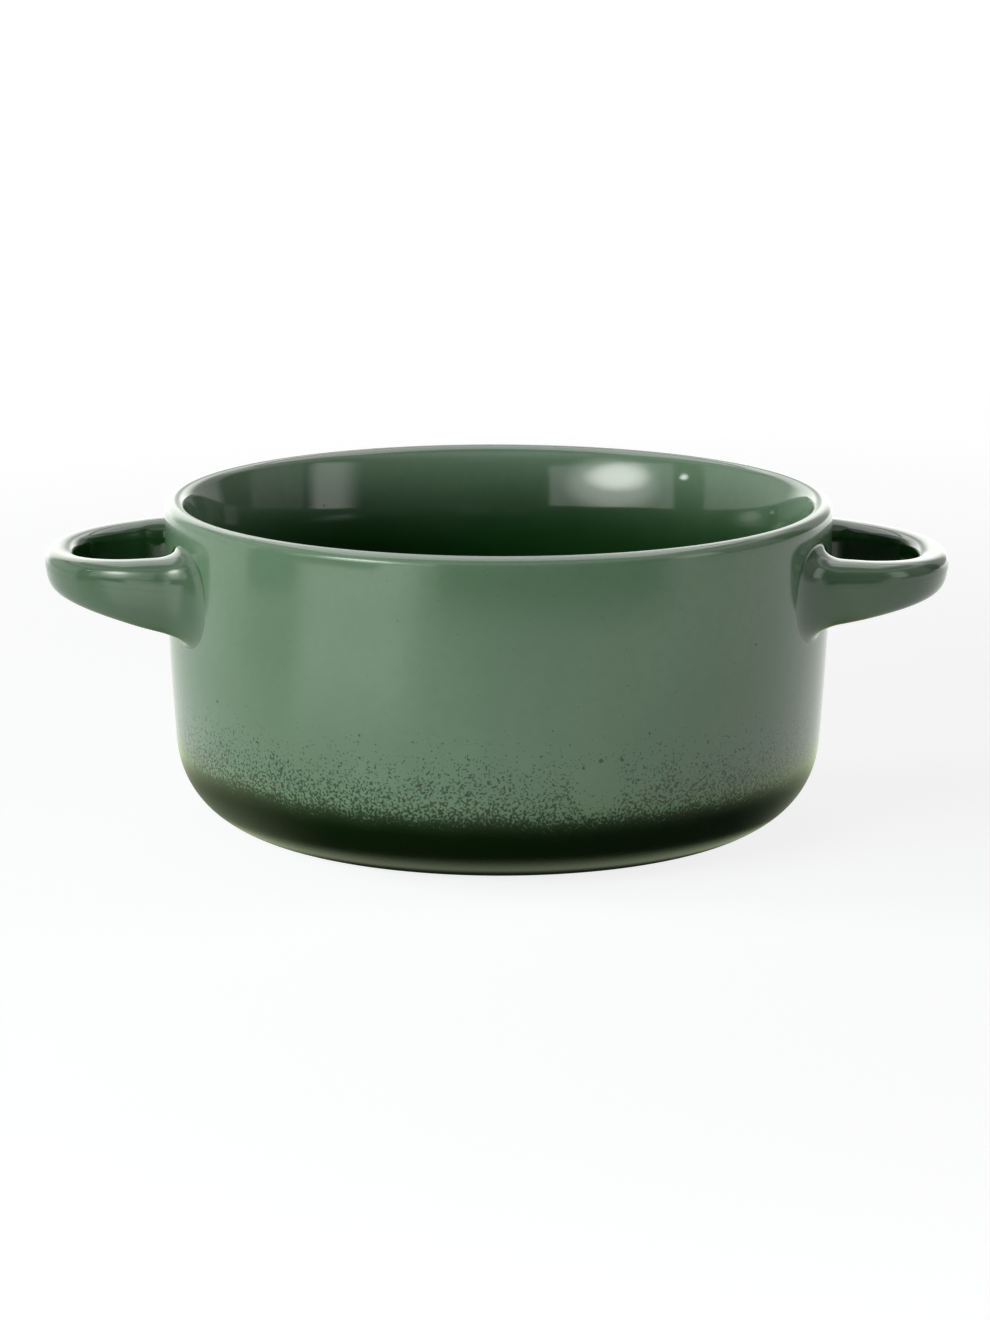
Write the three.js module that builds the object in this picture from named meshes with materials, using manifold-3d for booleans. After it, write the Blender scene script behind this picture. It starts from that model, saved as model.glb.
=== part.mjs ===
// A stoneware soup bowl with two loop handles, in millimetres, +Z up.
// The origin is the centre of the plane that the foot ring rests on, and the handles point along +X and -X.
// The vessel is one turned piece. Each handle is a separate strap, bent to a loop, whose two cut ends are
// luted to the wall: a pad of slip lies between strap and wall, and a cove of it runs round the strap.
import * as THREE from "three";
import { mergeVertices } from "three/addons/utils/BufferGeometryUtils.js";
import Module from "manifold-3d";

// Vessel
const RIM_DIAMETER = 138; // outside of the lip
const BOWL_HEIGHT = 70; // table to the top of the lip
const WALL = 7.4; // thickness of the wall below the lip
const LIP = 4.2; // thickness of the lip, which is rounded over
const LIP_THINNING = 16; // height over which the inside of the wall curls out to thin it to the lip
const LIP_BEND = 8; // depth below the lip's middle where that curl, carried on straight, turns upright
const INNER_TAPER = 0.8; // the same for the taper below the curl, as a share of the height that it spans
const WAIST_DIAMETER = 133.8; // outside, where the upright wall turns into the base
const WAIST_HEIGHT = 20; // table to that turn
const TAPER_HEIGHT = 46; // table to where the waist's taper, carried on straight, reaches the rim's width
const FLOOR = 5.5; // thickness of the floor over the recess in the foot
const INNER_CORNER = 16; // how far the inside corner runs in over the floor
const FOOT_DIAMETER = 84; // outside of the foot ring
const FOOT_WIDTH = 4.4; // foot ring, outside to inside
const FOOT_HEIGHT = 2; // depth of the recess that the foot ring surrounds
const FOOT_ROUND = 0.8; // rounding of the foot ring's two edges
const CORNER_FULLNESS = 0.6; // how far the base and the inside corner fill out: 0.55 is about an ellipse

// Handles
const HANDLE_REACH = 25.2; // wall to the tip of the loop
const HANDLE_SPAN = 47.6; // between the middles of a handle's two roots
const HANDLE_DROP = 8.2; // top of the lip down to the top of a handle at its roots
const HANDLE_FALL = 2.2; // how much lower the top is at the tip than at the roots
const ROOT_HEIGHT = 15.9; // strap at its roots
const TIP_HEIGHT = 7.9; // strap at the tip
const ROOT_THICKNESS = 9.4; // strap at its roots, seen from above
const TIP_THICKNESS = 7.2; // strap at the tip, seen from above
const LOOP_SQUARENESS = 2.2; // power of the loop's outline from above: 2 is an ellipse, more is squarer
const STRAP_LEAN = 0.3; // share of its thickness that the strap loses from its top to its underside
const STRAP_SQUARENESS = 2.7; // the same power for the outline of the strap's section

// Luted joints
const SLIP_PAD = 1; // thickness of the slip between a strap's end and the wall
const SLIP_COVE = 4; // how far the cove of slip round a strap's end runs along the strap
const SLIP_SPREAD = 6; // how far the cove would run out sideways to lie flat on the wall
const SLIP_RISE = 2.4; // how far it would run out upwards and downwards to lie flat on the wall
const SLIP_EDGE = 0.4; // thickness of the slip where the cove runs out along the strap
const JOINT_GAP = 0.3; // clearance between pieces that meet

// Fineness of the faceted surfaces
const TURNED_SIDES = 60;
const WALL_STEPS = 6;
const BASE_STEPS = 9;
const CORNER_STEPS = 7;
const CURL_STEPS = 6;
const LIP_STEPS = 8;
const FOOT_STEPS = 3;
const STRAP_STEPS = 24;
const SECTION_POINTS = 20;
const COVE_STEPS = 7;

const GLAZE = { color: 0x76907a, roughness: 0.18, metalness: 0 };
const SLIP = { color: 0x6d8570, roughness: 0.25, metalness: 0 };

const wasm = await Module();
wasm.setup();

const rimRadius = RIM_DIAMETER / 2;
const waistRadius = WAIST_DIAMETER / 2;
const footRadius = FOOT_DIAMETER / 2;
const lipRadius = LIP / 2;
const lipHeight = BOWL_HEIGHT - lipRadius;
const floorHeight = FOOT_HEIGHT + FLOOR;
const quarter = Math.PI / 2;
const JOIN_TOLERANCE = 1e-4; // points nearer than this are one point

const point = (radius, height) => new THREE.Vector2(radius, height);

// Solids and meshes

function solidOf(geometry) {
  const bare = geometry.clone();
  bare.deleteAttribute("normal");
  bare.deleteAttribute("uv");
  const merged = mergeVertices(bare, JOIN_TOLERANCE);
  return new wasm.Manifold(
    new wasm.Mesh({
      numProp: 3,
      vertProperties: merged.getAttribute("position").array,
      triVerts: new Uint32Array(merged.index.array),
    }),
  );
}

function geometryOf(solid) {
  const { vertProperties, triVerts } = solid.getMesh();
  return new THREE.BufferGeometry()
    .setAttribute("position", new THREE.BufferAttribute(vertProperties, 3))
    .setIndex(new THREE.BufferAttribute(triVerts, 1));
}

function pieceOf(name, geometry, finish) {
  geometry.computeVertexNormals();
  const mesh = new THREE.Mesh(geometry, new THREE.MeshStandardMaterial(finish));
  mesh.name = name;
  return mesh;
}

// Points along several curves in turn, each with its own number of steps. Where one curve starts at the end
// of the one before, that point is kept once.
function trace(stretches) {
  const points = [];
  for (const [curve, steps] of stretches) {
    const [first, ...rest] = curve.getPoints(steps);
    if (!points.length || points.at(-1).distanceTo(first) > JOIN_TOLERANCE) {
      points.push(first);
    }
    points.push(...rest);
  }
  return points;
}

// A profile of radius and height turned about +Z.
function turned(profile) {
  return new THREE.LatheGeometry(profile, TURNED_SIDES).rotateX(quarter);
}

// Rings of points joined in order, with a fan of triangles over each end.
function lofted(rings) {
  const sides = rings[0].length;
  const corners = rings.flat();
  const triangles = [];
  for (let i = 0; i + 1 < rings.length; i++) {
    for (let j = 0; j < sides; j++) {
      const a = i * sides + j;
      const b = i * sides + ((j + 1) % sides);
      triangles.push(a, a + sides, b, b, a + sides, b + sides);
    }
  }
  const lastStart = (rings.length - 1) * sides;
  for (let j = 1; j + 1 < sides; j++) {
    triangles.push(0, j, j + 1);
    triangles.push(lastStart, lastStart + j + 1, lastStart + j);
  }
  return new THREE.BufferGeometry().setFromPoints(corners).setIndex(triangles);
}

// Vessel

// Outside of the wall, from the waist up to the lip: a slight taper that ends upright.
const outerWall = new THREE.QuadraticBezierCurve(
  point(waistRadius, WAIST_HEIGHT),
  point(rimRadius, TAPER_HEIGHT),
  point(rimRadius, lipHeight),
);

// A corner between the foot of a tapering wall and a level run that ends at a point nearer the axis.
function corner(wallFoot, levelEnd) {
  const down = outerWall.getTangent(0).multiplyScalar((levelEnd.y - wallFoot.y) * CORNER_FULLNESS);
  const along = (wallFoot.x - levelEnd.x) * CORNER_FULLNESS;
  return [wallFoot, wallFoot.clone().add(down), point(levelEnd.x + along, levelEnd.y), levelEnd];
}

// A quarter round of a foot ring edge, about its own centre, from one angle on by a quarter turn.
function footEdge(radius, from) {
  return new THREE.EllipseCurve(radius, FOOT_ROUND, FOOT_ROUND, FOOT_ROUND, from, from + quarter);
}

// The round of the lip, from its outside over the top to where it runs on towards a point inside the wall.
function lipRound(towards) {
  const centre = point(rimRadius - lipRadius, lipHeight);
  const reach = centre.clone().sub(towards);
  const lean = Math.atan2(reach.x, reach.y) - Math.asin(lipRadius / reach.length());
  return new THREE.EllipseCurve(centre.x, centre.y, lipRadius, lipRadius, 0, Math.PI - lean);
}

function vessel() {
  const insideFoot = footRadius - FOOT_WIDTH;
  const recessEdge = point(insideFoot - FOOT_HEIGHT, FOOT_HEIGHT);
  const innerWaist = point(waistRadius - WALL, WAIST_HEIGHT);
  const innerBend = point(rimRadius - WALL, lipHeight - LIP_BEND);
  const curlFoot = point(innerBend.x, lipHeight - LIP_THINNING);
  const innerTaper = point(curlFoot.x, THREE.MathUtils.lerp(WAIST_HEIGHT, curlFoot.y, INNER_TAPER));
  const floorEdge = point(innerWaist.x - INNER_CORNER, floorHeight);
  const base = corner(point(waistRadius, WAIST_HEIGHT), point(footRadius, FOOT_ROUND));
  const inside = corner(innerWaist, floorEdge);
  const recess = [recessEdge, point(insideFoot, FOOT_HEIGHT), point(insideFoot, FOOT_ROUND)];
  const lip = lipRound(innerBend);
  return turned(
    trace([
      [new THREE.LineCurve(point(0, FOOT_HEIGHT), recessEdge), 1],
      [new THREE.QuadraticBezierCurve(...recess), FOOT_STEPS],
      [footEdge(insideFoot + FOOT_ROUND, Math.PI), FOOT_STEPS],
      [footEdge(footRadius - FOOT_ROUND, -quarter), FOOT_STEPS],
      [new THREE.CubicBezierCurve(...base.reverse()), BASE_STEPS],
      [outerWall, WALL_STEPS],
      [lip, LIP_STEPS],
      [new THREE.QuadraticBezierCurve(lip.getPoint(1), innerBend, curlFoot), CURL_STEPS],
      [new THREE.QuadraticBezierCurve(curlFoot, innerTaper, innerWaist), WALL_STEPS],
      [new THREE.CubicBezierCurve(...inside), CORNER_STEPS],
      [new THREE.LineCurve(floorEdge, point(0, floorHeight)), 1],
    ]),
  );
}

// The space inside the wall's outer face, grown outwards: what cuts a handle's end to the wall's own curve.
function wallEnvelope(grown) {
  const face = outerWall.getPoints(WALL_STEPS).map((p) => point(p.x + grown, p.y));
  const top = [point(rimRadius + grown, BOWL_HEIGHT), point(0, BOWL_HEIGHT)];
  return solidOf(turned([point(0, WAIST_HEIGHT), ...face, ...top]));
}

// Radius of the wall's outer face at a height.
function wallRadiusAt(height) {
  const face = outerWall.getPoints(WALL_STEPS);
  const above = face.findIndex((p) => p.y >= height);
  if (above < 0) return rimRadius;
  if (above === 0) return waistRadius;
  const [low, high] = [face[above - 1], face[above]];
  return THREE.MathUtils.mapLinear(height, low.y, high.y, low.x, high.x);
}

// Handles, modelled at +X

const rootTop = BOWL_HEIGHT - HANDLE_DROP;
const wallAtRoot = wallRadiusAt(rootTop - ROOT_HEIGHT / 2);
const rootY = HANDLE_SPAN / 2;
const rootX = Math.sqrt(wallAtRoot ** 2 - rootY ** 2);
const loopDepth = wallAtRoot + HANDLE_REACH - TIP_THICKNESS / 2 - rootX;

// A sine or cosine bent so that the outline drawn with it is squarer than an ellipse.
const squared = (share, squareness) => Math.sign(share) * Math.abs(share) ** (2 / squareness);

// One ring of points round the strap. The angle runs along the loop, from a quarter turn back at one root to
// a quarter turn on at the other; past is how far the strap has run on, straight into the wall. Wider and
// taller are how much the section is grown at each side, and at its top and underside.
function strapRing(angle, past, wider, taller = wider) {
  const towardsTip = squared(Math.cos(angle), LOOP_SQUARENESS);
  const aside = squared(Math.sin(angle), LOOP_SQUARENESS);
  const middle = new THREE.Vector3(rootX + loopDepth * towardsTip - past, rootY * aside, 0);
  const steepness = LOOP_SQUARENESS - 1;
  const sideways = loopDepth * Math.sign(aside) * Math.abs(aside) ** steepness;
  const out = new THREE.Vector3(rootY * towardsTip ** steepness, sideways, 0).normalize();
  const height = THREE.MathUtils.lerp(ROOT_HEIGHT, TIP_HEIGHT, towardsTip);
  const thickness = THREE.MathUtils.lerp(ROOT_THICKNESS, TIP_THICKNESS, towardsTip);
  middle.z = rootTop - HANDLE_FALL * towardsTip - height / 2;
  const ring = [];
  for (let i = 0; i < SECTION_POINTS; i++) {
    const side = Math.cos((4 * quarter * i) / SECTION_POINTS);
    const rise = Math.sin((4 * quarter * i) / SECTION_POINTS);
    const across = squared(side, STRAP_SQUARENESS);
    const up = squared(rise, STRAP_SQUARENESS);
    const lean = 1 - (STRAP_LEAN * (1 - up)) / 2;
    const skin = middle.clone().addScaledVector(out, (across * lean * thickness) / 2 + side * wider);
    skin.z += (up * height) / 2 + rise * taller;
    ring.push(skin);
  }
  return ring;
}

function strapSolid(grown, cutAt) {
  const rings = [strapRing(-quarter, ROOT_THICKNESS, grown)];
  for (let i = 0; i <= STRAP_STEPS; i++) {
    rings.push(strapRing(quarter * ((2 * i) / STRAP_STEPS - 1), 0, grown));
  }
  rings.push(strapRing(quarter, ROOT_THICKNESS, grown));
  return solidOf(lofted(rings)).subtract(wallEnvelope(cutAt));
}

// Luted joint at the root on the +Y side

// One ring of the slip's outside. Every point is as far from the wall, so the ring follows the wall's curve.
function slipRing(fromWall, spread) {
  const edge = JOINT_GAP + SLIP_EDGE;
  const angle = Math.acos((Math.max(0, fromWall) / loopDepth) ** (LOOP_SQUARENESS / 2));
  const ring = strapRing(angle, 0, edge + SLIP_SPREAD * spread, edge + SLIP_RISE * spread);
  for (const skin of ring) {
    skin.x = Math.sqrt((wallRadiusAt(skin.z) + fromWall) ** 2 - skin.y ** 2);
  }
  return ring;
}

function slipSolid() {
  const sweep = Math.asin(1 - JOINT_GAP / SLIP_COVE);
  const rings = [];
  for (let i = 0; i <= COVE_STEPS; i++) {
    const swept = (sweep * i) / COVE_STEPS;
    rings.push(slipRing(SLIP_COVE * (1 - Math.sin(swept)), 1 - Math.cos(swept)));
  }
  rings.push(slipRing(-SLIP_PAD, 1 - Math.cos(sweep)));
  return solidOf(lofted(rings))
    .subtract(wallEnvelope(JOINT_GAP))
    .subtract(strapSolid(JOINT_GAP, JOINT_GAP + SLIP_PAD));
}

// Assembly

const bowl = new THREE.Group();
bowl.add(pieceOf("bowl_body", vessel(), GLAZE));

const strapGeometry = geometryOf(strapSolid(0, SLIP_PAD + 2 * JOINT_GAP));
const slipGeometry = geometryOf(slipSolid());
// The joint at the other root is the mirror image. That turns each face round, so its triangles are
// reversed.
const mirroredSlip = slipGeometry.clone().scale(1, -1, 1);
mirroredSlip.setIndex([...slipGeometry.index.array].reverse());

for (const [side, turn] of [["right", 0], ["left", Math.PI]]) {
  const handle = new THREE.Group();
  handle.rotation.z = turn;
  const [rear, front] = turn ? [mirroredSlip, slipGeometry] : [slipGeometry, mirroredSlip];
  handle.add(pieceOf(`${side}_handle`, strapGeometry.clone(), GLAZE));
  handle.add(pieceOf(`${side}_rear_slip_joint`, rear.clone(), SLIP));
  handle.add(pieceOf(`${side}_front_slip_joint`, front.clone(), SLIP));
  bowl.add(handle);
}

export default bowl;
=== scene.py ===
"""A glazed stoneware soup bowl with two loop handles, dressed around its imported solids."""
import math

import bmesh
import bpy
from bpy.props import FloatProperty, FloatVectorProperty, IntProperty, PointerProperty
from mathutils import Matrix, Vector


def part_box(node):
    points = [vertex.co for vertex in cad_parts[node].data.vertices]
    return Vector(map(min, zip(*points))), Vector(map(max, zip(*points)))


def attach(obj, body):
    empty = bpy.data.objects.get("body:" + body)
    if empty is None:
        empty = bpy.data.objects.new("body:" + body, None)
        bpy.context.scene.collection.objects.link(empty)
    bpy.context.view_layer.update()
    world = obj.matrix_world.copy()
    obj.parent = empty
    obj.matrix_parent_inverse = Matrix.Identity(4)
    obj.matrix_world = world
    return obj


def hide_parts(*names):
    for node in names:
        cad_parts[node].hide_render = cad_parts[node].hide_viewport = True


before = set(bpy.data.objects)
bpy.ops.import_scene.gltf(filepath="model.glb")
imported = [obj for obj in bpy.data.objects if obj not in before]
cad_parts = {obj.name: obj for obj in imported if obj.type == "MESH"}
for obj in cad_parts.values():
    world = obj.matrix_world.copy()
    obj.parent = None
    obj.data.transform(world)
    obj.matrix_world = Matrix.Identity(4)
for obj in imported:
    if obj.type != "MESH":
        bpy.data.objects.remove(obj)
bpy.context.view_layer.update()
BODY_LOW, BODY_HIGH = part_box("bowl_body")

bl_info = {
    "name": "Glazed Soup Bowl",
    "version": (1, 0, 0),
    "blender": (4, 5, 0),
    "location": "View3D > Sidebar > Bowl",
    "description": "Models a glazed stoneware soup bowl with two loop handles",
    "category": "Add Mesh",
}

QUARTER = math.pi / 2
HARD_EDGE = math.radians(50)
LIP_STEPS = 20  # even, so that the lip's crest is one of its points
OUTSIDE, INSIDE, BARE = range(3)  # places of the vessel's finishes in its list of materials
GLAZE_IOR = 1.5
DROP_RELIEF = 0.000008  # how far a drop of glaze stands out, in metres
TRAY_RADIUS = 1.7
TRAY_DEPTH = 1.5
TRAY_LEVEL = 16  # brightest that the gloss tray can be, in times white
HIGH_AIM = (0, 0, 0.06)  # on the axis of the bowl, what most of the lamps are turned to
LOW_AIM = (0, 0, 0.05)
NEUTRAL = (1, 1, 1)
COOL = (0.96, 1, 1.06)
BLACK = (0, 0, 0, 1)


# Sizes and colours

def length(name, description, default):
    return FloatProperty(name=name, description=description, default=default, unit="LENGTH", precision=4)


def share(name, description, default):
    return FloatProperty(name=name, description=description, default=default)


def glaze_colour(name, description, red, green, blue):
    """A colour that is written in the 0 to 255 steps of a screen."""
    return FloatVectorProperty(
        name=name, description=description, default=linear(red, green, blue), subtype="COLOR", min=0, max=1
    )


def linear(*screen):
    """Screen steps from 0 to 255 as the linear values that shaders take."""
    shares = [step / 255 for step in screen]
    return [s / 12.92 if s <= 0.04045 else ((s + 0.055) / 1.055) ** 2.4 for s in shares]


class VesselSizes(bpy.types.PropertyGroup):
    rim_diameter: length("Rim diameter", "Outside of the lip", BODY_HIGH.x - BODY_LOW.x)
    height: length("Height", "Table to the top of the lip", BODY_HIGH.z)
    wall: length("Wall", "Thickness of the wall below the lip", 0.0074)
    lip: length("Lip", "Thickness of the lip, which is rounded over", 0.0042)
    lip_thinning: length("Lip thinning", "Height over which the inside curls out to the lip", 0.016)
    lip_bend: length("Lip bend", "Depth where that curl, carried on straight, turns upright", 0.008)
    inner_taper: share("Inner taper", "The same for the taper below it, as a share of its height", 0.8)
    waist_diameter: length("Waist diameter", "Outside, where the wall turns into the base", 0.1338)
    waist_height: length("Waist height", "Table to that turn", 0.020)
    taper_height: length("Taper height", "Where the waist's taper reaches the rim's width", 0.046)
    floor: length("Floor", "Thickness of the floor over the recess", 0.0055)
    inner_corner: length("Inner corner", "How far the inside corner runs in over the floor", 0.016)
    foot_diameter: length("Foot diameter", "Outside of the foot ring", 0.084)
    foot_width: length("Foot width", "Foot ring, outside to inside", 0.0044)
    foot_height: length("Foot height", "Depth of the recess inside the foot ring", 0.002)
    foot_round: length("Foot rounding", "Rounding of the foot ring's edges", 0.0008)
    corner_fullness: share("Corner fullness", "How far the rounded corners fill out", 0.6)
    turns: IntProperty(name="Turns", description="Steps round the turned vessel", default=240)


class HandleSizes:
    """A handle's sizes, as they are on the left one."""

    reach: length("Reach", "Wall to the tip of the loop", 0.0254)
    span: length("Span", "Between the middles of the two roots", 0.0484)
    drop: length("Drop", "Top of the lip down to the top of the strap at its roots", 0.0080)
    fall: length("Fall", "How much lower the top is at the tip than at the roots", 0.0020)
    root_height: length("Root height", "Strap at its roots", 0.0168)
    tip_height: length("Tip height", "Strap at the tip", 0.0081)
    root_thickness: length("Root thickness", "Strap at its roots, seen from above", 0.0094)
    tip_thickness: length("Tip thickness", "Strap at the tip, seen from above", 0.0070)
    lean: share("Lean", "Share of its thickness that the strap loses downwards", 0.3)
    loop_squareness: share("Loop squareness", "Power of its outline from above, 2 for an ellipse", 2.35)
    squareness: share("Section squareness", "The same power for the strap's section", 2.7)
    cove_run: length("Cove run", "How far the luted cove runs along the strap", 0.005)
    cove_spread: length("Cove spread", "How far the cove spreads sideways on the wall", 0.006)
    cove_rise: length("Cove rise", "How far the cove climbs on the wall", 0.0020)
    cove_sink: length("Cove sink", "How deep the root is bedded in the wall", 0.0008)
    section_points: IntProperty(name="Section points", description="Points round the strap", default=56)
    loop_steps: IntProperty(name="Loop steps", description="Steps along half of the loop", default=40)
    cove_steps: IntProperty(name="Cove steps", description="Steps up the cove", default=14)


class LeftHandle(HandleSizes, bpy.types.PropertyGroup):
    pass


class RightHandle(HandleSizes, bpy.types.PropertyGroup):
    """The right handle, which was pulled a little shorter and slimmer."""

    reach: length("Reach", "Wall to the tip of the loop", 0.0248)
    span: length("Span", "Between the middles of the two roots", 0.0496)
    drop: length("Drop", "Top of the lip down to the top of the strap at its roots", 0.0082)
    fall: length("Fall", "How much lower the top is at the tip than at the roots", 0.0022)
    root_height: length("Root height", "Strap at its roots", 0.0146)
    tip_height: length("Tip height", "Strap at the tip", 0.0078)
    tip_thickness: length("Tip thickness", "Strap at the tip, seen from above", 0.0074)
    cove_rise: length("Cove rise", "How far the cove climbs on the wall", 0.0028)


class GlazeColours(bpy.types.PropertyGroup):
    sage_pale: glaze_colour("Pale sage", "Glaze where it is thin", 96, 124, 96)
    sage_deep: glaze_colour("Deep sage", "Glaze where it is thick", 84, 112, 84)
    sage_thick: glaze_colour("Thick sage", "Glaze where it is thickest, on the handles", 64, 88, 63)
    handle_pale: glaze_colour("Pale on the handles", "Glaze on the handles where it is thin", 74, 100, 74)
    # painted shade: the inside's colour darkened towards the bottom
    inside_painted_shade: glaze_colour("Inside painted shade", "Painted shade inside, darker towards the bottom", 54, 86, 52)
    spray: glaze_colour("Spray", "Dark glaze in fine drops over the sage", 30, 50, 26)
    base: glaze_colour("Base", "Dark glaze that covers the base", 7, 27, 3)
    # painted shade: the darkest green, deep inside and in the handles' loops
    pool: glaze_colour("Deep painted shade", "Painted shade deep inside and in the handles' loops", 22, 64, 22)
    clay: glaze_colour("Clay", "Bare stoneware on the foot ring", 176, 158, 134)
    clay_toast: glaze_colour("Toasted clay", "Bare stoneware beside the glaze", 120, 88, 60)
    floor: glaze_colour("Floor", "Studio floor", 176, 176, 176)


# Shader maths

class Shade:
    """A socket in a material's node tree. Arithmetic on it adds Math nodes to the tree."""

    def __init__(self, tree, socket):
        self.tree = tree
        self.socket = socket

    def node(self, kind, settings, inputs, output=0):
        """Adds a node, with its settings first and then its sockets, each a value or another socket."""
        node = self.tree.nodes.new(kind)
        for name, value in settings.items():
            setattr(node, name, value)
        for name, value in inputs.items():
            if isinstance(value, Shade):
                self.tree.links.new(value.socket, node.inputs[name])
            else:
                node.inputs[name].default_value = value
        return Shade(self.tree, node.outputs[output])

    def output(self, name):
        """Another output of the node that this socket is on."""
        return Shade(self.tree, self.socket.node.outputs[name])

    def maths(self, operation, first, second):
        return self.node("ShaderNodeMath", {"operation": operation}, {0: first, 1: second})

    def vectors(self, operation, *values):
        return self.node("ShaderNodeVectorMath", {"operation": operation}, dict(enumerate(values)))

    def __add__(self, other):
        return self.maths("ADD", self, other)

    def __radd__(self, other):
        return self.maths("ADD", other, self)

    def __sub__(self, other):
        return self.maths("SUBTRACT", self, other)

    def __rsub__(self, other):
        return self.maths("SUBTRACT", other, self)

    def __mul__(self, other):
        return self.maths("MULTIPLY", self, other)

    def __rmul__(self, other):
        return self.maths("MULTIPLY", other, self)

    def __lt__(self, other):
        return self.maths("LESS_THAN", self, other)

    def rising(self, low, high):
        """0 up to low, 1 from high on, and a smooth step between."""
        return self.node(
            "ShaderNodeMapRange",
            {"interpolation_type": "SMOOTHSTEP"},
            {"Value": self, "From Min": low, "From Max": high},
        )

    def rising_evenly(self, low, high):
        """0 up to low, 1 from high on, and a straight rise between."""
        return self.node("ShaderNodeMapRange", {}, {"Value": self, "From Min": low, "From Max": high})

    def window(self, low, low_end, high_start, high):
        """1 between the two middle values, and a smooth fall to 0 on either side."""
        return self.rising(low, low_end) * (1 - self.rising(high_start, high))

    def larger(self, other):
        return self.maths("MAXIMUM", self, other)

    def away_from(self, spot, stretch):
        """Distance of this place from a spot, with each axis stretched."""
        offset = self.vectors("MULTIPLY", self.vectors("SUBTRACT", self, spot), stretch)
        return self.vectors("LENGTH", offset).output("Value")

    def blend(self, first, second):
        """The first colour where this value is 0, and the second where it is 1."""
        colours = {"Factor": self, 6: first, 7: second}
        return self.node("ShaderNodeMix", {"data_type": "RGBA"}, colours, output=2)

    def noise(self, size, detail=2.0, roughness=0.5):
        """Noise about 0.5 on this place, with lumps of about that size in metres."""
        knobs = {"Vector": self, "Scale": 1 / size, "Detail": detail, "Roughness": roughness}
        return self.node("ShaderNodeTexNoise", {}, knobs)

    def shaken(self, size, reach):
        """This place moved about at random, by up to about that reach and in lumps of that size."""
        lumps = self.noise(size, 1.0).output("Color")
        offset = self.vectors("SUBTRACT", lumps, (0.5,) * 3)
        return self.vectors("MULTIPLY_ADD", offset, (2 * reach,) * 3, self)

    def drops(self, spacing, radius, share_of_cells, softness=0.45):
        """Round drops on this place: one to a cell of that spacing, in a share of the cells."""
        cell = self.node("ShaderNodeTexVoronoi", {}, {"Vector": self, "Scale": 1 / spacing})
        chance = self.node("ShaderNodeSeparateColor", {}, {"Color": cell.output("Color")})
        reach = radius / spacing * (0.45 + 0.9 * chance.output("Green"))
        inside = 1 - cell.node(
            "ShaderNodeMapRange",
            {"interpolation_type": "SMOOTHSTEP"},
            {"Value": cell, "From Min": reach * (1 - softness), "From Max": reach},
        )
        return inside * (chance < share_of_cells)


def new_finish(name):
    """A material with an empty tree. Returns it, its Principled shader and the place on the piece."""
    material = bpy.data.materials.new(name)
    material.use_nodes = True
    tree = material.node_tree
    shader = tree.nodes["Principled BSDF"]
    place = Shade(tree, tree.nodes.new("ShaderNodeTexCoord").outputs["Object"])
    return material, shader, place


def connect(shader, **values):
    """Feeds the shader's sockets, named with low lines for spaces."""
    for name, value in values.items():
        socket = shader.inputs[name.replace("_", " ").title().replace("Ior", "IOR")]
        if isinstance(value, Shade):
            value.tree.links.new(value.socket, socket)
        else:
            socket.default_value = value


def bumped(relief):
    """A Normal from a relief in metres."""
    return relief.node("ShaderNodeBump", {}, {"Height": relief, "Distance": 1.0, "Strength": 1.0})


def opaque(colour):
    return colour[:] + (1,)


# Finishes

def mottled_sage(place, pale, deep):
    """The sage glaze's own colour, thick and thin in soft clouds."""
    clouds = place.noise(0.035, 2.0, 0.5).rising(0.35, 0.70)
    curdle = place.noise(0.0022, 2.0, 0.6).rising(0.35, 0.75)
    cloudy = (clouds * 0.6).blend(opaque(pale), opaque(deep))
    return (curdle * 0.25).blend(cloudy, opaque(deep))


def glaze_relief(place, waves):
    """Slow waves of the thrown wall under the glaze, and the fine peel of its surface, in metres."""
    return waves * (place.noise(0.022, 1.0) - 0.5) + 0.000003 * place.noise(0.0016, 1.0)


def spray_mask(place, level, grain):
    """Drops of the dark spray: a stipple that thins out above the band, and single drops higher up. One
    spot at the front was missed."""
    missed_spot = (0.0190, -0.0645, 0.0225)
    missed = 1 - place.away_from(missed_spot, (1, 1, 0.8)).rising(0.0036, 0.0058)
    thin = level + 0.0065 * (place.noise(0.0060, 2.0) - 0.5) + 0.0080 * missed
    stipple = (grain - 0.28 * thin.rising_evenly(0.0202, 0.0371)).rising(0.465, 0.56)
    rough = place.shaken(0.0006, 0.00025)
    fine = rough.drops(0.0010, 0.00030, (1 - thin.rising(0.019, 0.035)) * 0.60, 0.6)
    stray = rough.drops(0.0024, 0.00046, (1 - thin.rising(0.020, 0.037)) * 0.60 + 0.030)
    return stipple.larger(fine * 0.8).larger(stray * 0.9)


def outside_glaze(colours):
    """Sage glaze with dark glaze sprayed up from the base: solid below, then drops that thin out."""
    material, shader, place = new_finish("glaze_outside")
    across = place.node("ShaderNodeSeparateXYZ", {}, {"Vector": place})
    drift = 0.0045 * (place.noise(0.024, 2.0) - 0.5) + 0.0016 * (place.noise(0.0040, 2.0) - 0.5)
    level = across.output("Z") + drift + 0.0009 * across.rising(-0.054, -0.034)
    grain = place.noise(0.00054, 1.0, 0.6)
    covered = 1 - (level + 0.010 * (0.5 - grain)).rising(0.0169, 0.0201)
    solid = 1 - level.rising(0.0129, 0.0189)
    spotted = spray_mask(place, level, grain)
    sage = mottled_sage(place, colours.sage_pale, colours.sage_deep)
    colour = (spotted * 0.93).blend(sage, opaque(colours.spray))
    colour = covered.blend(colour, opaque(colours.spray))
    colour = solid.blend(colour, opaque(colours.base))
    relief = glaze_relief(place, 0.00010) + DROP_RELIEF * spotted
    connect(
        shader,
        base_color=colour,
        roughness=0.08 + 0.05 * place.noise(0.006, 2.0) + 0.04 * covered,
        normal=bumped(relief),
        ior=GLAZE_IOR,
    )
    return material


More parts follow.
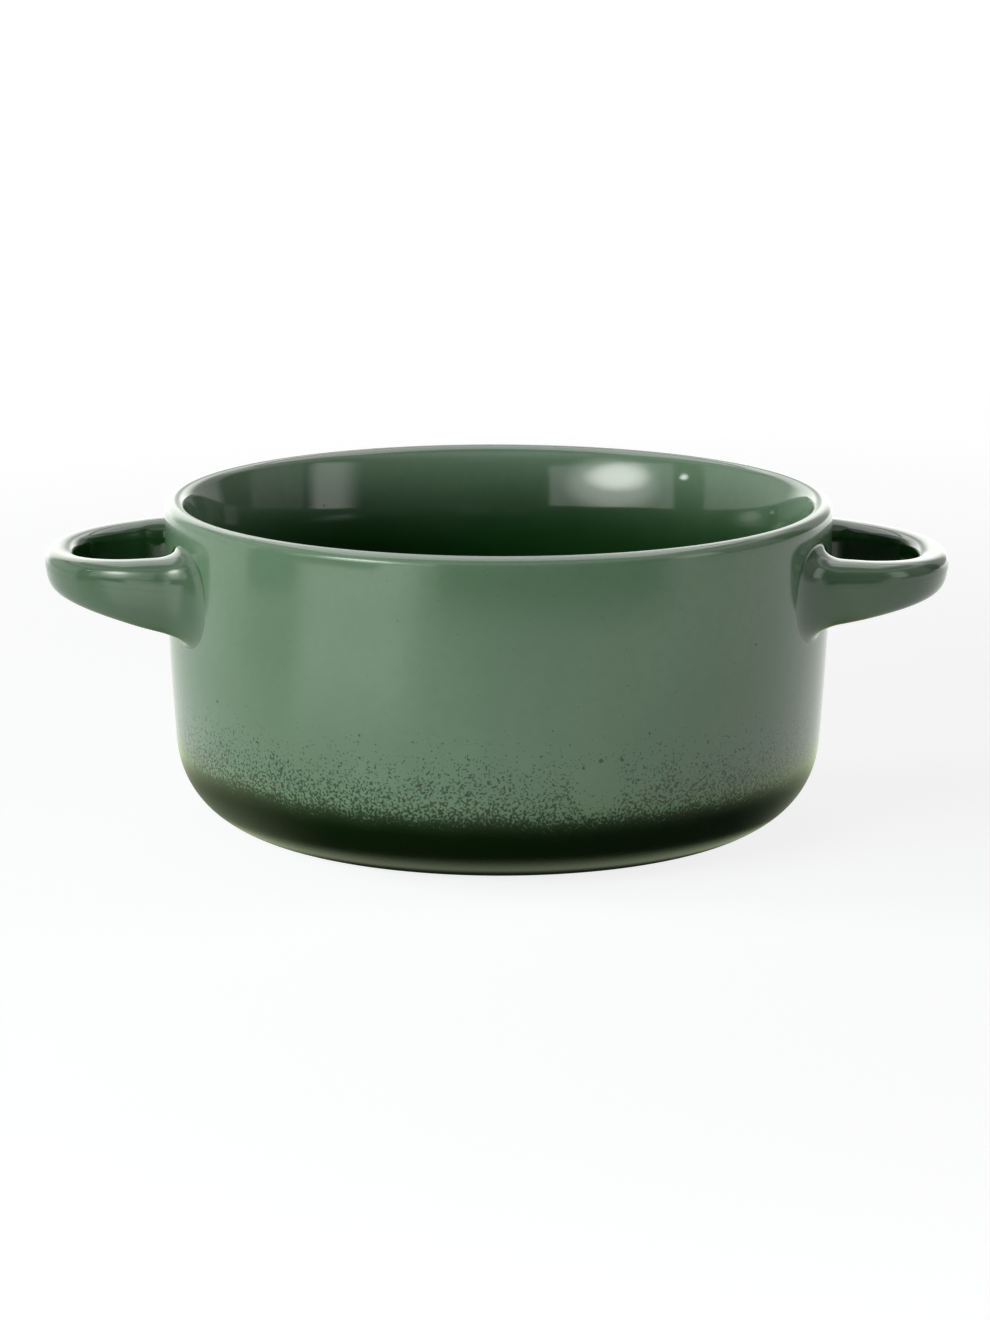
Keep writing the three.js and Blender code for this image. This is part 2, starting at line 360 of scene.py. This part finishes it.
def handle_glaze(colours):
    """Sage glaze on a handle, with painted shade on the inside of its loop."""
    material, shader, place = new_finish("glaze_handle")
    loop_shade = place.node("ShaderNodeAttribute", {"attribute_name": "loop_painted_shade"}, {}, output="Fac")
    stray = place.drops(0.0046, 0.00048, 0.06)
    sage = mottled_sage(place, colours.handle_pale, colours.sage_thick)
    colour = (stray * 0.65).blend(sage, opaque(colours.spray))
    # painted shade: the inside of the loop is darkened in the colour
    colour = (loop_shade * 0.95).blend(colour, opaque(colours.pool))
    relief = glaze_relief(place, 0.00008) + DROP_RELIEF * stray
    connect(
        shader,
        base_color=colour,
        roughness=0.08 + 0.05 * place.noise(0.006, 2.0),
        normal=bumped(relief),
        ior=GLAZE_IOR,
    )
    return material


def inside_glaze(colours):
    """The same glaze inside, with painted shade that darkens its colour towards the bottom."""
    material, shader, place = new_finish("glaze_inside")
    height = place.node("ShaderNodeSeparateXYZ", {}, {"Vector": place}).output("Z")
    level = height + 0.006 * (place.noise(0.020, 2.0) - 0.5)
    sage = mottled_sage(place, colours.sage_pale, colours.sage_deep)
    # painted shade: the colour darkens from the lip down, and is darkest deep inside
    colour = (1 - level.rising_evenly(0.0500, 0.0675)).blend(sage, opaque(colours.inside_painted_shade))
    colour = (1 - level.rising(0.042, 0.066)).blend(colour, opaque(colours.pool))
    stray = place.drops(0.0046, 0.00045, 0.05)
    colour = (stray * 0.7).blend(colour, opaque(colours.spray))
    relief = glaze_relief(place, 0.00016) + DROP_RELIEF * stray
    connect(
        shader,
        base_color=colour,
        roughness=0.04 + 0.04 * place.noise(0.006, 2.0),
        normal=bumped(relief),
        ior=GLAZE_IOR,
    )
    return material


def bare_foot(colours):
    """Unglazed stoneware where the foot ring was wiped clean, toasted in the firing, with fine grog."""
    material, shader, place = new_finish("bare_foot")
    toast = place.noise(0.009, 3.0).rising(0.45, 0.70)
    grog = place.drops(0.0011, 0.00028, 0.4)
    colour = (toast * 0.6).blend(opaque(colours.clay), opaque(colours.clay_toast))
    colour = (grog * 0.7).blend(colour, opaque(colours.clay_toast))
    relief = 0.00003 * place.noise(0.0007, 3.0) + 0.00003 * grog
    connect(
        shader,
        base_color=colour,
        roughness=0.78 + 0.15 * place.noise(0.002, 2.0),
        normal=bumped(relief),
        ior=1.45,
    )
    return material


# Curves

def bezier(corners, steps):
    """Points along the curve that the corners pull, with both ends."""
    points = []
    for i in range(steps + 1):
        row = list(corners)
        while len(row) > 1:
            row = [a.lerp(b, i / steps) for a, b in zip(row, row[1:])]
        points.append(row[0])
    return points


def arc(centre, radius, start, end, steps):
    """Points along a circle's arc, with both ends."""
    points = []
    for i in range(steps + 1):
        angle = start + (end - start) * i / steps
        points.append(centre + radius * Vector((math.cos(angle), math.sin(angle))))
    return points


def point(radius, height):
    return Vector((radius, height))


def outer_wall(sizes):
    """Corners of the curve of the wall's outer face, from the waist up to the lip."""
    rim = sizes.rim_diameter / 2
    waist = point(sizes.waist_diameter / 2, sizes.waist_height)
    return [waist, point(rim, sizes.taper_height), point(rim, sizes.height - sizes.lip / 2)]


def rounded_corner(sizes, wall_foot, level_end):
    """Corners of the curve from the foot of a tapering wall in to a level run."""
    waist, bend, _ = outer_wall(sizes)
    down = (bend - waist).normalized() * (level_end.y - wall_foot.y) * sizes.corner_fullness
    along = (wall_foot.x - level_end.x) * sizes.corner_fullness
    return [wall_foot, wall_foot + down, point(level_end.x + along, level_end.y), level_end]


def vessel_profile(sizes):
    """The vessel's half section, from the axis under the foot round the lip to the axis on the floor.
    Returns its points and the numbers of the points where the bare foot starts, where it ends, and where
    the lip's crest is."""
    foot = sizes.foot_diameter / 2
    inside_foot = foot - sizes.foot_width
    edge = sizes.foot_round
    lip = sizes.lip / 2
    wall = outer_wall(sizes)
    rim = wall[-1].x
    floor_height = sizes.foot_height + sizes.floor
    inner_waist = wall[0] - point(sizes.wall, 0)
    lip_centre = wall[-1] - point(lip, 0)
    inner_bend = point(rim - sizes.wall, lip_centre.y - sizes.lip_bend)
    curl_foot = point(inner_bend.x, lip_centre.y - sizes.lip_thinning)
    taper_rise = (curl_foot.y - inner_waist.y) * sizes.inner_taper
    to_lip = lip_centre - inner_bend
    lean = math.atan2(to_lip.x, to_lip.y) - math.asin(lip / to_lip.length)
    lip_round = arc(lip_centre, lip, 0, math.pi - lean, LIP_STEPS)
    floor_edge = point(inner_waist.x - sizes.inner_corner, floor_height)
    recess = point(inside_foot - sizes.foot_height, sizes.foot_height)
    recess_foot = point(inside_foot, edge)
    base = rounded_corner(sizes, wall[0], point(foot, edge))
    stretches = [
        bezier([point(0, sizes.foot_height), recess], 6),
        bezier([recess, point(inside_foot, sizes.foot_height), recess_foot], 8),
        arc(point(inside_foot + edge, edge), edge, math.pi, 3 * QUARTER, 6),
        bezier([point(inside_foot + edge, 0), point(foot - edge, 0)], 3),
        arc(point(foot - edge, edge), edge, -QUARTER, 0, 6),
        bezier(base[::-1], 30),
        bezier(wall, 26),
        lip_round,
        bezier([lip_round[-1], inner_bend, curl_foot], 16),
        bezier([curl_foot, point(curl_foot.x, inner_waist.y + taper_rise), inner_waist], 16),
        bezier(rounded_corner(sizes, inner_waist, floor_edge), 20),
        bezier([floor_edge, point(0, floor_height)], 8),
    ]
    points = [stretches[0][0]]
    ends = []
    for stretch in stretches:
        points += stretch[1:]
        ends.append(len(points) - 1)
    # the recess ends with stretch 1, the foot ring with 4 and the wall with 6
    foot_start, foot_end, crest = ends[1], ends[4], ends[6] + LIP_STEPS // 2
    return points, foot_start, foot_end, crest


# Modelling by hand

def deselect_all():
    if bpy.context.object and bpy.context.object.mode != "OBJECT":
        bpy.ops.object.mode_set(mode="OBJECT")
    bpy.ops.object.select_all(action="DESELECT")


def finish_piece(piece, name):
    """Names the piece and gives it smooth shading, apart from its hard edges."""
    bpy.ops.object.mode_set(mode="OBJECT")
    bpy.ops.object.shade_smooth_by_angle(angle=HARD_EDGE)
    piece.name = name
    piece.data.name = name
    return piece


def drawn_path(points):
    """A new object of one open path: a plane merged to a vertex, extruded from point to point."""
    deselect_all()
    bpy.ops.mesh.primitive_plane_add(size=0.01)
    piece = bpy.context.object
    bpy.ops.object.mode_set(mode="EDIT")
    bpy.ops.mesh.select_all(action="SELECT")
    bpy.ops.mesh.merge(type="CENTER")
    bpy.ops.transform.translate(value=points[0])
    for here, there in zip(points, points[1:]):
        bpy.ops.mesh.extrude_vertices_move(TRANSFORM_OT_translate={"value": there - here})
    return piece


def set_ring(piece, places):
    """Puts the newest ring of vertices of the mesh in edit mode on the given places."""
    mesh = bmesh.from_edit_mesh(piece.data)
    mesh.verts.ensure_lookup_table()
    for vertex, place in zip(mesh.verts[-len(places):], places):
        vertex.co = place
    bmesh.update_edit_mesh(piece.data)


def lofted(rings):
    """A new object: a circle set on the first ring and extruded to the others, closed at both ends."""
    deselect_all()
    bpy.ops.mesh.primitive_circle_add(vertices=len(rings[0]), radius=0.01, fill_type="NGON")
    piece = bpy.context.object
    bpy.ops.object.mode_set(mode="EDIT")
    bpy.ops.mesh.select_mode(type="EDGE")
    bpy.ops.mesh.select_all(action="SELECT")
    set_ring(piece, rings[0])
    bpy.ops.mesh.select_mode(type="FACE")
    bpy.ops.mesh.select_all(action="SELECT")
    for ring in rings[1:]:
        bpy.ops.mesh.extrude_region_move()
        set_ring(piece, ring)
    bpy.ops.mesh.select_all(action="SELECT")
    bpy.ops.mesh.normals_make_consistent(inside=False)
    return piece


def paint(piece, *finishes):
    piece.data.materials.clear()
    for finish in finishes:
        piece.data.materials.append(finish)


# Vessel

def make_vessel(sizes, finishes):
    """The thrown vessel: its half section turned about the upright axis."""
    profile, foot_start, foot_end, crest = vessel_profile(sizes)
    piece = drawn_path([Vector((p.x, 0, p.y)) for p in profile])
    bpy.ops.mesh.select_all(action="SELECT")
    bpy.ops.mesh.spin(steps=sizes.turns, angle=math.tau, center=(0, 0, 0), axis=(0, 0, 1))
    bpy.ops.mesh.select_all(action="SELECT")
    bpy.ops.mesh.remove_doubles(threshold=1e-6)
    bpy.ops.mesh.normals_make_consistent(inside=False)
    finish_piece(piece, "bowl_vessel")
    paint(piece, *finishes)
    assign_vessel_finishes(piece, profile, foot_start, foot_end, crest)
    return piece


def assign_vessel_finishes(piece, profile, foot_start, foot_end, crest):
    """Gives each face the finish of the stretch of the half section that it was turned from."""
    middles = [(a + b) / 2 for a, b in zip(profile, profile[1:])]
    for face in piece.data.polygons:
        here = point(math.hypot(face.center.x, face.center.y), face.center.z)
        nearest = min(range(len(middles)), key=lambda i: (middles[i] - here).length_squared)
        if foot_start <= nearest < foot_end:
            face.material_index = BARE
        elif nearest >= crest:
            face.material_index = INSIDE
        else:
            face.material_index = OUTSIDE


# Handles

def wall_radius(wall, height):
    """Radius of the wall's outer face at a height."""
    waist, bend, top = wall
    if height >= top.y:
        return top.x
    a = waist.y - 2 * bend.y + top.y
    b = 2 * (bend.y - waist.y)
    c = waist.y - height
    t = (math.sqrt(b * b - 4 * a * c) - b) / (2 * a)
    return (1 - t) ** 2 * waist.x + 2 * t * (1 - t) * bend.x + t * t * top.x


class Loop:
    """The shape of one handle at +X, as rings of points round the strap from root to root."""

    let_go = 1.5  # length, in cove runs past the cove, over which the strap stops following the wall

    def __init__(self, vessel, sizes):
        self.sizes = sizes
        self.wall = outer_wall(vessel)
        self.root_top = vessel.height - sizes.drop
        wall_at_root = wall_radius(self.wall, self.root_top - sizes.root_height / 2)
        self.root_y = sizes.span / 2
        self.root_x = math.sqrt(wall_at_root**2 - self.root_y**2)
        self.depth = wall_at_root + sizes.reach - sizes.tip_thickness / 2 - self.root_x

    def ring(self, side, run):
        """Points round the strap where it has run out from the root at that side, -1 or 1, by a length."""
        sizes = self.sizes
        out_run = max(run, 0)
        towards_tip = min(out_run / self.depth, 1)
        power = sizes.loop_squareness
        aside = (1 - towards_tip**power) ** (1 / power)
        middle = Vector((self.root_x + self.depth * towards_tip, self.root_y * aside * side, 0))
        steepness = power - 1
        out = Vector((self.root_y * towards_tip**steepness, self.depth * side * aside**steepness, 0))
        out.normalize()
        flare = self.flare(out_run)
        strap_height = sizes.root_height + (sizes.tip_height - sizes.root_height) * towards_tip
        thick = sizes.root_thickness + (sizes.tip_thickness - sizes.root_thickness) * towards_tip
        middle.z = self.root_top - sizes.fall * towards_tip - strap_height / 2
        ring = []
        for i in range(sizes.section_points):
            angle = math.tau * i / sizes.section_points
            across, up = (self.squared(v) for v in (math.cos(angle), math.sin(angle)))
            lean = 1 - sizes.lean * (1 - up) / 2
            skin = middle + out * (across * lean * thick / 2 + math.cos(angle) * flare * sizes.cove_spread)
            skin.z += up * strap_height / 2 + math.sin(angle) * flare * sizes.cove_rise
            ring.append(self.against_wall(skin, run))
        return ring

    def squared(self, value):
        return math.copysign(abs(value) ** (2 / self.sizes.squareness), value)

    def flare(self, run):
        """How far the cove has spread, from 0 on the strap to 1 flat on the wall."""
        climb = max(0, 1 - run / self.sizes.cove_run)
        return 1 - math.sqrt(1 - climb**2)

    def against_wall(self, skin, run):
        """Near the root, slides a point along X until it is as far from the wall as the ring's middle."""
        followed = 1 - min(max((run / self.sizes.cove_run - 1) / self.let_go, 0), 1)
        followed = followed * followed * (3 - 2 * followed)
        radius = wall_radius(self.wall, skin.z) + run
        level_x = math.sqrt(radius**2 - skin.y**2)
        return Vector((skin.x + (level_x - skin.x) * followed, skin.y, skin.z))

    def rings(self):
        """All rings, from the root at -Y round the tip to the root at +Y."""
        sizes = self.sizes
        runs = [-sizes.cove_sink]
        for i in range(sizes.cove_steps):
            runs.append(sizes.cove_run * (1 - math.cos(QUARTER * i / sizes.cove_steps)))
        start = math.acos(sizes.cove_run / self.depth)
        for i in range(sizes.loop_steps + 1):
            runs.append(self.depth * math.cos(start * (1 - i / sizes.loop_steps)))
        front = [self.ring(-1, run) for run in runs]
        rear = [self.ring(1, run) for run in runs[-2::-1]]
        return front + rear


def make_handle(vessel, sizes, name, turn, finish):
    """A strap bent to a loop, with the coves that lute its two roots to the wall."""
    about = Matrix.Rotation(turn, 3, "Z")
    rings = [[about @ place for place in ring] for ring in Loop(vessel, sizes).rings()]
    piece = finish_piece(lofted(rings), name)
    # painted shade: how far each point faces into the loop, where its colour is darkened
    inside = piece.data.attributes.new("loop_painted_shade", "FLOAT", "POINT")
    for vertex, value in zip(piece.data.vertices, inside.data):
        towards_bowl = -math.cos(math.tau * (vertex.index % sizes.section_points) / sizes.section_points)
        value.value = min(max(1.6 * towards_bowl - 0.2, 0), 1)  # starts a little inside the strap's crest
    paint(piece, finish)
    return piece


# Stage

def towards(azimuth, distance, height):
    """A place at an angle in degrees round from the front, positive to the right."""
    turn = math.radians(azimuth)
    return Vector((distance * math.sin(turn), -distance * math.cos(turn), height))


def soft_box(name, place, aim, size, level, edge=0.1, tint=NEUTRAL):
    """A soft box at a place, turned to an aim. Its size is its width and height, and its face is that many
    times white in its middle and falls off over a share of its size at its edges."""
    width, tall = size
    deselect_all()
    turn = (Vector(aim) - Vector(place)).to_track_quat("-Z", "Y").to_euler()
    bpy.ops.object.light_add(type="AREA", location=place, rotation=turn)
    lamp = bpy.context.object
    lamp.name = name
    lamp.visible_camera = False
    lamp.data.shape = "RECTANGLE"
    lamp.data.size = width
    lamp.data.size_y = tall
    lamp.data.color = tint
    lamp.data.energy = level * math.pi * width * tall
    lamp.data.use_nodes = True
    tree = lamp.data.node_tree
    face = Shade(tree, tree.nodes.new("ShaderNodeNewGeometry").outputs["Parametric"])
    across = face.node("ShaderNodeSeparateXYZ", {}, {"Vector": face})
    up = across.output("Y")
    lit = across.window(0, edge, 1 - edge, 1) * up.window(0, edge, 1 - edge, 1)
    tree.links.new(lit.socket, tree.nodes["Emission"].inputs["Strength"])
    return lamp


def off_centre(across, centre_across, half_width, up, centre_up, half_height):
    """Squared distance from the centre of an oval, 1 on its edge."""
    sideways = (across - centre_across) * (1 / half_width)
    upwards = (up - centre_up) * (1 / half_height)
    return sideways * sideways + upwards * upwards


def far_side(angle):
    """1 on the side of the set that is away from the camera."""
    return 1 - angle.window(-150, -132, 126, 134)


def table_shine(angle, radius):
    """How bright the table is, in times white, by the angle in degrees round from the front and the radius.
    It is brightest in a sheen at the left front. It is dark before its front edge, where the camera stands,
    and at two cards on the left. Close under the bowl it has a painted shadow of the bowl, with a painted
    strip of light round the foot."""
    before = angle.window(-27, -15, 44, 62) * radius.rising(0.27, 0.38)
    beside = angle.window(64, 76, 105, 125) * radius.rising(0.4, 0.8)
    sheen = angle.window(-72, -56, -34, -20) * radius.rising(0.12, 0.24)
    gap = angle.window(-92, -82, -70, -60) * radius.rising(0.12, 0.24)
    near_card = angle.window(-91, -86, -70, -65) * radius.rising(0.315, 0.345)
    far_card = angle.window(-73, -68, -42, -37) * radius.rising(0.42, 0.50)
    # painted shadow of the bowl close under it, with a painted strip of light round the foot, as the tray
    # takes no shadows
    painted_foot_light = radius.window(0.0512, 0.0543, 0.0550, 0.0608)
    near_painted_shadow = (1 - radius.rising(0.072, 0.105)) * (0.72 + 0.26 * angle.window(-70, -35, 54, 104))
    painted_contact_shadow = near_painted_shadow * (1 - 0.5 * painted_foot_light)
    lit = (1 + sheen) * (1 - before) * (1 - 0.65 * beside) * (1 - 0.30 * gap) * (1 - painted_contact_shadow)
    lit = lit * (1 - 0.97 * near_card.larger(far_card))
    return lit * (1 + 0.8 * far_side(angle) * radius.rising(0.3, 0.6))


def room_shine(angle, height):
    """How bright the room round the table is, in times white, by the angle and the height: a large lamp at
    the left with a hot spot in a halo, a glint beside it, a lamp at the right, pale walls at both sides
    and a bright back."""
    in_reach = height.window(0.04, 0.10, 0.88, 0.98)
    left = angle.window(-76, -73, -23, -20.5) * in_reach
    halo = 1 - off_centre(angle, -48, 23, height, 0.62, 0.56).rising(0, 1)
    hot = 1 - off_centre(angle, -50, 16, height, 0.72, 0.27).rising(0, 1)
    glint = 1 - off_centre(angle, -79.5, 2.4, height, 0.67, 0.045).rising(0, 1)
    pale = angle.window(-150, -130, -91, -88) * in_reach
    right = angle.window(54, 67, 74, 82) * in_reach
    beyond = angle.window(81, 84, 108, 112) * in_reach
    back = 1 - angle.window(-155, -138, 150, 168)
    middle_of_back = 0.25 + 0.75 * angle.window(-179, -171, 171, 179)
    dim = 0.08 + 0.24 * height.rising_evenly(0.30, 0.95) + 1.2 * height.rising(0.92, 1.30)
    lamps = 1.5 * left + 3.8 * halo + 8.6 * hot + 14 * glint + 2.1 * right
    walls = pale + 0.35 * beyond + 0.6 * far_side(angle) + 2.0 * back * middle_of_back
    return dim + lamps + walls


def make_gloss_tray():
    """A tray round the set that only gloss sees. Its pattern is what the glaze mirrors."""
    deselect_all()
    bpy.ops.mesh.primitive_circle_add(
        vertices=64, radius=TRAY_RADIUS, fill_type="NGON", location=(0, 0, 0.0004)
    )
    tray = bpy.context.object
    tray.name = "gloss_tray"
    bpy.ops.object.transform_apply(location=True)
    bpy.ops.object.mode_set(mode="EDIT")
    bpy.ops.mesh.select_all(action="SELECT")
    bpy.ops.mesh.region_to_loop()
    bpy.ops.mesh.extrude_edges_move(TRANSFORM_OT_translate={"value": (0, 0, TRAY_DEPTH)})
    bpy.ops.object.mode_set(mode="OBJECT")
    for kind in ("camera", "diffuse", "shadow", "transmission", "volume_scatter"):
        setattr(tray, f"visible_{kind}", False)
    material, shader, place = new_finish("gloss_tray")
    across = place.node("ShaderNodeSeparateXYZ", {}, {"Vector": place})
    angle = across.maths("ARCTAN2", across, across.output("Y") * -1.0) * math.degrees(1)
    height = across.output("Z")
    radius = place.away_from((0, 0, 0), (1, 1, 0))
    table = 1 - height.rising(0.01, 0.05)
    shine = table * table_shine(angle, radius) + (1 - table) * room_shine(angle, height)
    # painted green bounce light from the bowl, close under it
    tint = radius.rising(0.09, 0.13).blend((0.86, 1, 0.64, 1), (0.97, 1, 0.95, 1))
    connect(
        shader,
        base_color=BLACK,
        roughness=1.0,
        emission_color=(shine * (1 / TRAY_LEVEL)).blend(BLACK, tint),
        emission_strength=TRAY_LEVEL,
    )
    tray.data.materials.append(material)
    return tray


def backdrop_share(tree):
    """1 for rays from the camera and for mirrored ones, which see the white backdrop."""
    rays = Shade(tree, tree.nodes.new("ShaderNodeLightPath").outputs["Is Camera Ray"])
    return rays.larger(rays.output("Is Glossy Ray")).larger(rays.output("Is Transmission Ray"))


def light_world(fill):
    """A white backdrop that lights the object with a plain fill."""
    world = bpy.data.worlds.new("studio")
    bpy.context.scene.world = world
    world.use_nodes = True
    tree = world.node_tree
    background = tree.nodes["Background"]
    background.inputs["Color"].default_value = (1, 1, 1, 1)
    strength = fill + (1 - fill) * backdrop_share(tree)
    tree.links.new(strength.socket, background.inputs["Strength"])


def make_floor(colours):
    """A wide pale matt floor, which keeps the bowl's shadow and fades to the white backdrop."""
    deselect_all()
    bpy.ops.mesh.primitive_plane_add(size=12, location=(0, 0, -0.0002))
    floor = bpy.context.object
    floor.name = "studio_floor"
    bpy.ops.object.transform_apply(location=True)
    material, shader, place = new_finish("studio_floor")
    far = place.away_from((0, 0, 0), (1, 1, 1)).rising(0.20, 0.90)
    glow = (0.82 + 0.18 * far) * backdrop_share(material.node_tree)
    connect(
        shader,
        base_color=opaque(colours.floor),
        roughness=0.80 + 0.04 * place.noise(0.004, 2.0),
        specular_ior_level=0.0,
        emission_color=glow.blend(BLACK, (1, 1, 1, 1)),
        emission_strength=1.0,
    )
    floor.data.materials.append(material)
    return floor


def aim_camera():
    """The photograph's view: a long lens, a little above the rim, turned slightly to the left handle."""
    aim = Vector((-0.00067, 0, 0.03563))
    distance, rise, yaw, roll = 1.2, math.radians(11.56), math.radians(1.0), math.radians(0.153)
    about = Matrix.Rotation(-yaw, 3, "Z")
    back = Vector((0, -math.cos(rise), math.sin(rise)))
    turn = about @ Matrix.Rotation(QUARTER - rise, 3, "X") @ Matrix.Rotation(roll, 3, "Z")
    deselect_all()
    bpy.ops.object.camera_add(location=about @ (aim + back * distance), rotation=turn.to_euler())
    camera = bpy.context.object
    camera.name = "photograph_view"
    camera.data.sensor_width = 36
    camera.data.lens = 157.3
    bpy.context.scene.camera = camera


class BOWL_OT_vessel(bpy.types.Operator):
    """Model the vessel and glaze it"""

    bl_idname = "bowl.vessel"
    bl_label = "Vessel"

    def execute(self, context):
        colours = context.scene.bowl_colours
        finishes = outside_glaze(colours), inside_glaze(colours), bare_foot(colours)
        piece = make_vessel(context.scene.bowl_vessel, finishes)
        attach(piece, "root")
        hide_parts("bowl_body")
        return {"FINISHED"}


class BOWL_OT_handles(bpy.types.Operator):
    """Model the two loop handles with their luted roots"""

    bl_idname = "bowl.handles"
    bl_label = "Handles"

    def execute(self, context):
        scene = context.scene
        finish = handle_glaze(scene.bowl_colours)
        for side, turn, sizes in (("right", 0, scene.bowl_right), ("left", math.pi, scene.bowl_left)):
            piece = make_handle(scene.bowl_vessel, sizes, f"{side}_loop_handle", turn, finish)
            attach(piece, "root")
            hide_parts(f"{side}_handle", f"{side}_front_slip_joint", f"{side}_rear_slip_joint")
        return {"FINISHED"}


class BOWL_OT_stage(bpy.types.Operator):
    """Set the studio floor, lamps and camera"""

    bl_idname = "bowl.stage"
    bl_label = "Stage"

    def execute(self, context):
        context.scene.view_settings.view_transform = "Standard"
        make_floor(context.scene.bowl_colours)
        make_gloss_tray()
        light_world(fill=0.02)
        overhead = soft_box("overhead_box", (0, 0.30, 1.0), (0, 0.30, 0), (1.6, 1.3), level=3.0, edge=0.15)
        overhead.visible_diffuse = False
        fills = [
            soft_box("overhead_fill", (0, 0.50, 1.0), (0, 0.50, 0), (1.6, 1.0), level=1.75, edge=0.2),
            soft_box("side_fill", towards(-96, 1.2, 0.28), LOW_AIM, (0.70, 0.50), level=8.5, edge=0.2),
            soft_box("far_left_fill", towards(-84, 1.35, 0.15), HIGH_AIM, (0.6, 0.24), level=9.0, tint=COOL),
            soft_box("left_fill", towards(-52, 1.35, 0.13), HIGH_AIM, (1.2, 0.22), level=5.6, tint=COOL),
            soft_box("upper_left_fill", towards(-40, 1.3, 0.4), HIGH_AIM, (1.0, 0.25), level=11, tint=COOL),
            soft_box("front_fill", towards(14, 1.45, 0.13), HIGH_AIM, (1.8, 0.20), level=6.4),
            soft_box("right_fill", towards(68, 1.3, 0.20), HIGH_AIM, (0.60, 0.35), level=1.8),
            soft_box("far_right_fill", towards(96, 1.2, 0.45), LOW_AIM, (0.70, 0.70), level=1.9, edge=0.2),
            soft_box("back_fill", towards(180, 1.35, 0.035), (0, 0, 0.035), (1.2, 0.07), level=18.0),
        ]
        for fill in fills:
            fill.visible_glossy = False
        aim_camera()
        return {"FINISHED"}


class BOWL_PT_panel(bpy.types.Panel):
    bl_idname = "BOWL_PT_panel"
    bl_label = "Soup bowl"
    bl_space_type = "VIEW_3D"
    bl_region_type = "UI"
    bl_category = "Bowl"

    def draw(self, context):
        for operator in STEPS:
            self.layout.operator(operator.bl_idname)


STEPS = BOWL_OT_vessel, BOWL_OT_handles, BOWL_OT_stage
GROUPS = {
    "bowl_vessel": VesselSizes,
    "bowl_left": LeftHandle,
    "bowl_right": RightHandle,
    "bowl_colours": GlazeColours,
}


def register():
    for each in (*GROUPS.values(), *STEPS, BOWL_PT_panel):
        bpy.utils.register_class(each)
    for name, group in GROUPS.items():
        setattr(bpy.types.Scene, name, PointerProperty(type=group))


def unregister():
    for name in GROUPS:
        delattr(bpy.types.Scene, name)
    for each in (BOWL_PT_panel, *STEPS, *GROUPS.values()):
        bpy.utils.unregister_class(each)


def main():
    register()
    bpy.ops.bowl.vessel()
    bpy.ops.bowl.handles()
    bpy.ops.bowl.stage()


if __name__ == "__main__":
    main()
